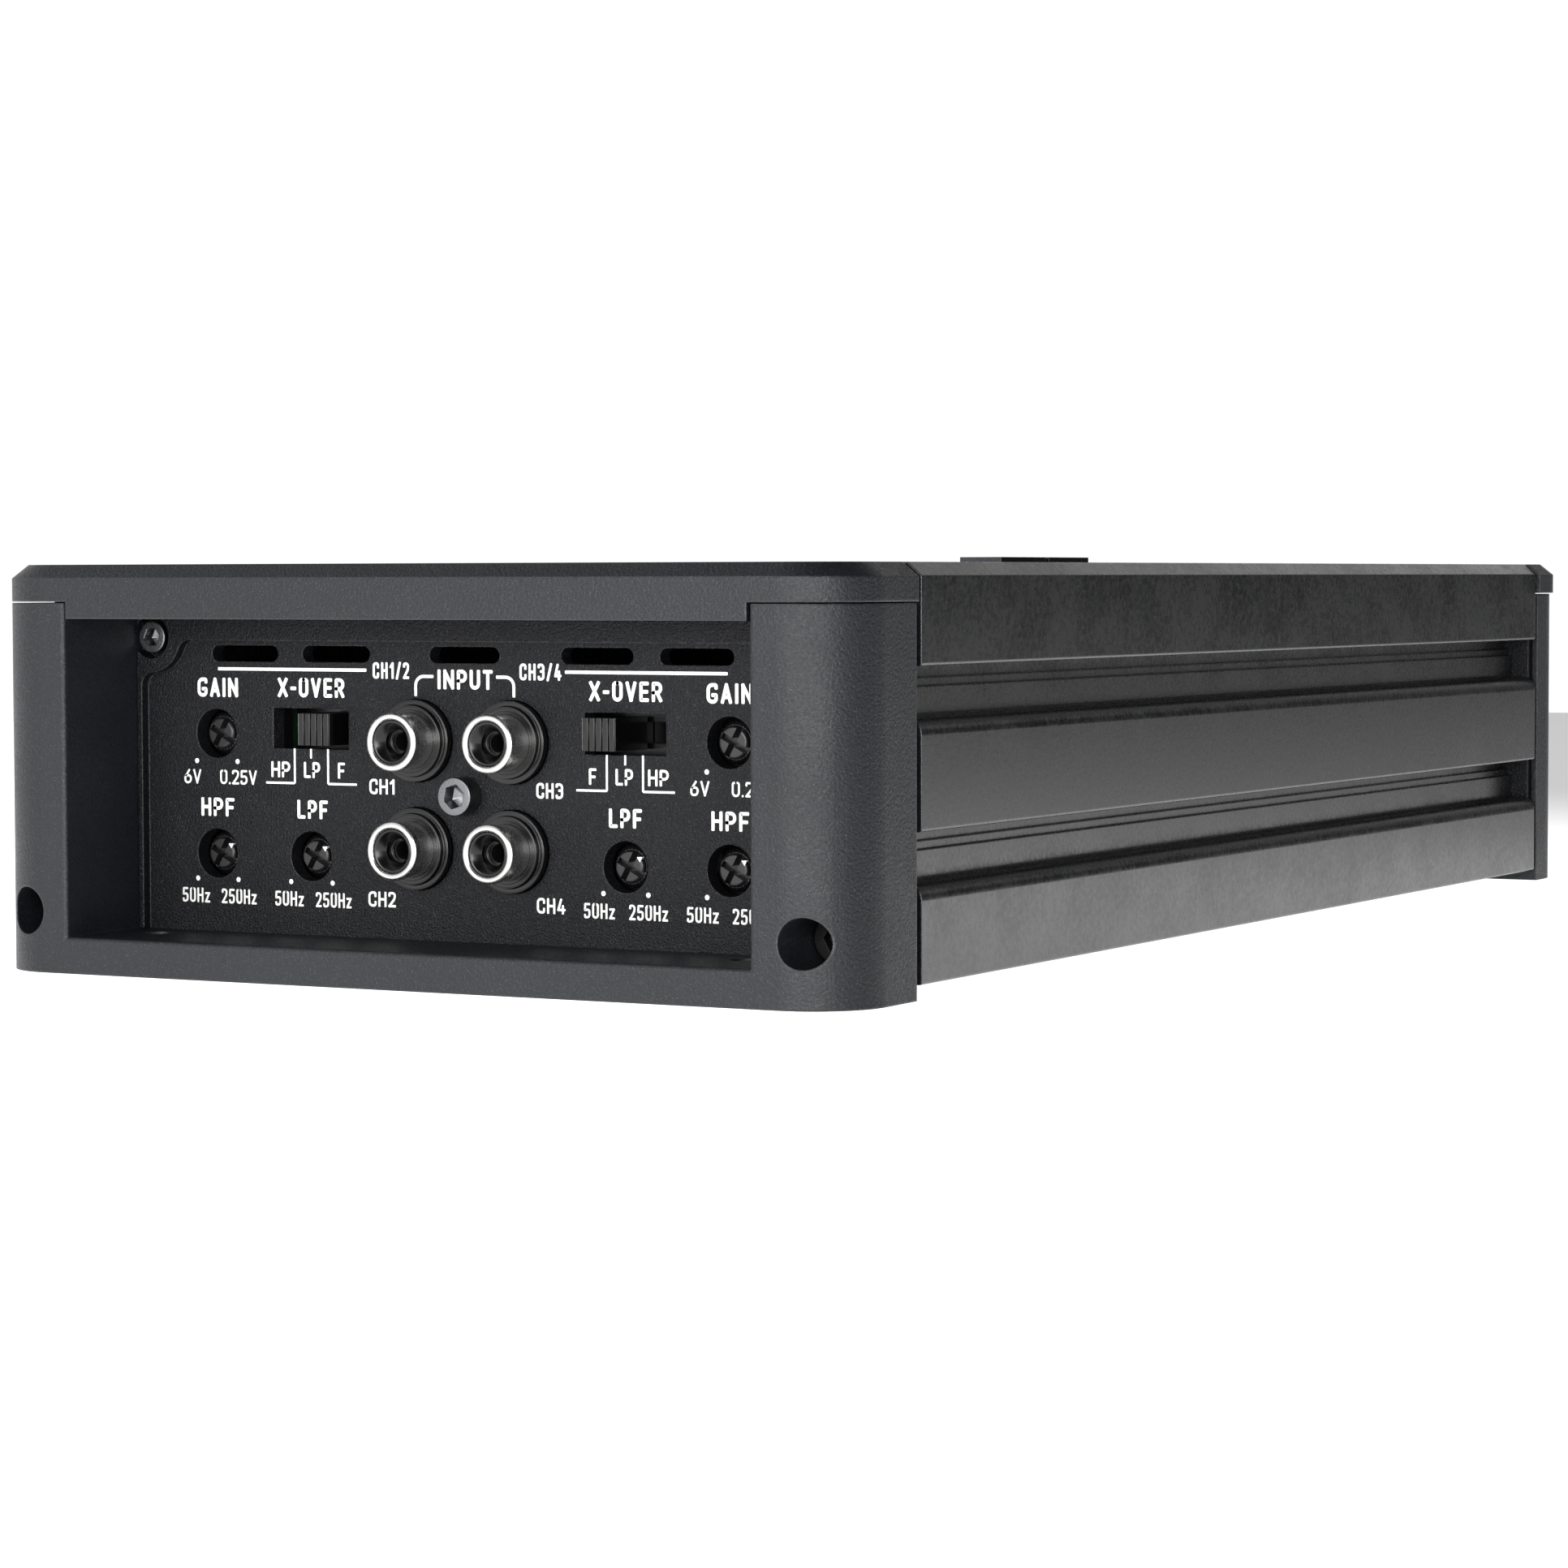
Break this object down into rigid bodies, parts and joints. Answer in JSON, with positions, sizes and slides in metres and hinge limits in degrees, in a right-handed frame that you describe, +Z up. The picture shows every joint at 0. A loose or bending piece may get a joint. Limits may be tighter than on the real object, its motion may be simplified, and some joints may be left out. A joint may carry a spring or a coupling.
{
  "type": "car audio amplifier",
  "caption": "Long car amplifier: grooved heatsink between end frames with plug-in hoods; jacks, knobs and slide switches at one end, wire terminals and fuses at the other",
  "frame": {"origin": "middle of the footprint at the level of the feet, which are the undersides of the two end frames", "axes": "+X across the width to the right when facing the input end, +Y from the input end to the terminal end along the length, +Z up"},
  "size_m": [0.143, 0.2916, 0.0602],
  "materials": {
    "heatsink_black": "satin black anodised aluminium extrusion with a fine leather grain",
    "end_casting_grey": "charcoal textured powder coat on a casting",
    "panel_black": "fine-grained black with printed legends",
    "plate_black": "black powder coat on steel sheet",
    "plate_screw_black": "black oxide steel",
    "zinc_screw": "bright zinc plate",
    "badge_metal": "blank satin badge plates",
    "collar_black": "moulded black collars",
    "jack_nickel": "bright nickel plate",
    "insulator_black": "moulded black insulator",
    "contact_nickel": "nickel plated contact",
    "knob_black": "moulded black with a cross slot",
    "slider_black": "moulded black slider",
    "switch_steel": "tinned steel frame",
    "pot_body_plastic": "moulded body",
    "board_green": "glass-epoxy board with solder mask",
    "standoff_brass": "turned brass",
    "ferrite_grey": "ferrite",
    "winding_copper": "enamelled copper wire",
    "inductor_green": "coated powdered-iron ring",
    "capacitor_sleeve": "shrink sleeve on an aluminium can",
    "transistor_epoxy": "moulded epoxy",
    "clamp_aluminium": "extruded bar",
    "terminal_black": "moulded terminal block",
    "terminal_screw_nickel": "nickel plated set screws",
    "fuse_amber": "translucent moulding with tinned blades",
    "lamp_green": "tinted lamp",
    "lamp_red": "tinted lamp"
  },
  "bodies": {
    "chassis": {"badge_front": "badge_metal", "badge_rear": "badge_metal", "board_screws": "zinc_screw", "board_standoffs": "standoff_brass", "bottom_plate": "plate_black", "bottom_plate_screws": "plate_screw_black", "choke_core": "ferrite_grey", "choke_winding": "winding_copper", "clamp_bar_left": "clamp_aluminium", "clamp_bar_right": "clamp_aluminium", "clamp_screws": "zinc_screw", "control_board": "board_green", "crossover_switch_body_left": "switch_steel", "crossover_switch_body_right": "switch_steel", "filter_capacitors": "capacitor_sleeve", "filter_pots": "pot_body_plastic", "frame_screws": "zinc_screw", "front_frame": "end_casting_grey", "front_hood": "end_casting_grey", "front_panel": "panel_black", "fuse_holder": "terminal_black", "gain_pots": "pot_body_plastic", "heatsink": "heatsink_black", "main_board": "board_green", "output_inductors": "inductor_green", "panel_screws": "zinc_screw", "power_lamp": "lamp_green", "power_terminal_block": "terminal_black", "power_terminal_screws": "terminal_screw_nickel", "protect_lamp": "lamp_red", "rca_block": "collar_black", "rca_block_screw": "zinc_screw", "rca_centre_contacts": "contact_nickel", "rca_insulator_ch1": "insulator_black", "rca_insulator_ch2": "insulator_black", "rca_insulator_ch3": "insulator_black", "rca_insulator_ch4": "insulator_black", "rca_shell_ch1": "jack_nickel", "rca_shell_ch2": "jack_nickel", "rca_shell_ch3": "jack_nickel", "rca_shell_ch4": "jack_nickel", "rear_frame": "end_casting_grey", "rear_hood": "end_casting_grey", "rear_panel": "panel_black", "speaker_terminal_block": "terminal_black", "speaker_terminal_screws": "terminal_screw_nickel", "transformer_core": "ferrite_grey", "transformer_winding": "winding_copper", "transistors_left": "transistor_epoxy", "transistors_right": "transistor_epoxy"},
    "gain_knob_left_body": {"gain_knob_left": "knob_black"},
    "high_pass_knob_left_body": {"high_pass_knob_left": "knob_black"},
    "low_pass_knob_left_body": {"low_pass_knob_left": "knob_black"},
    "gain_knob_right_body": {"gain_knob_right": "knob_black"},
    "high_pass_knob_right_body": {"high_pass_knob_right": "knob_black"},
    "low_pass_knob_right_body": {"low_pass_knob_right": "knob_black"},
    "crossover_slider_left_body": {"crossover_slider_left": "slider_black"},
    "crossover_slider_right_body": {"crossover_slider_right": "slider_black"},
    "blade_fuse_left_body": {"blade_fuse_left": "fuse_amber"},
    "blade_fuse_right_body": {"blade_fuse_right": "fuse_amber"}
  },
  "joints": [
    {"name": "gain_knob_left_turn", "type": "hinge", "parent": "chassis", "child": "gain_knob_left_body", "pos_m": [-0.0428, -0.1208, 0.0342], "axis": [0, 1, 0], "range_deg": [-138, 138]},
    {"name": "high_pass_knob_left_turn", "type": "hinge", "parent": "chassis", "child": "high_pass_knob_left_body", "pos_m": [-0.0428, -0.1208, 0.0167], "axis": [0, 1, 0], "range_deg": [-138, 138]},
    {"name": "low_pass_knob_left_turn", "type": "hinge", "parent": "chassis", "child": "low_pass_knob_left_body", "pos_m": [-0.02627, -0.1208, 0.0167], "axis": [0, 1, 0], "range_deg": [-138, 138]},
    {"name": "gain_knob_right_turn", "type": "hinge", "parent": "chassis", "child": "gain_knob_right_body", "pos_m": [0.0428, -0.1208, 0.0342], "axis": [0, 1, 0], "range_deg": [-138, 138]},
    {"name": "high_pass_knob_right_turn", "type": "hinge", "parent": "chassis", "child": "high_pass_knob_right_body", "pos_m": [0.0428, -0.1208, 0.0167], "axis": [0, 1, 0], "range_deg": [-138, 138]},
    {"name": "low_pass_knob_right_turn", "type": "hinge", "parent": "chassis", "child": "low_pass_knob_right_body", "pos_m": [0.02627, -0.1208, 0.0167], "axis": [0, 1, 0], "range_deg": [-138, 138]},
    {"name": "crossover_slider_left_travel", "type": "slide", "parent": "chassis", "child": "crossover_slider_left_body", "axis": [1, 0, 0], "range_m": [-0.005, 0]},
    {"name": "crossover_slider_right_travel", "type": "slide", "parent": "chassis", "child": "crossover_slider_right_body", "axis": [1, 0, 0], "range_m": [0, 0.005]},
    {"name": "blade_fuse_left_pull", "type": "slide", "parent": "chassis", "child": "blade_fuse_left_body", "axis": [0, 1, 0], "range_m": [0, 0.014]},
    {"name": "blade_fuse_right_pull", "type": "slide", "parent": "chassis", "child": "blade_fuse_right_body", "axis": [0, 1, 0], "range_m": [0, 0.014]}
  ]
}
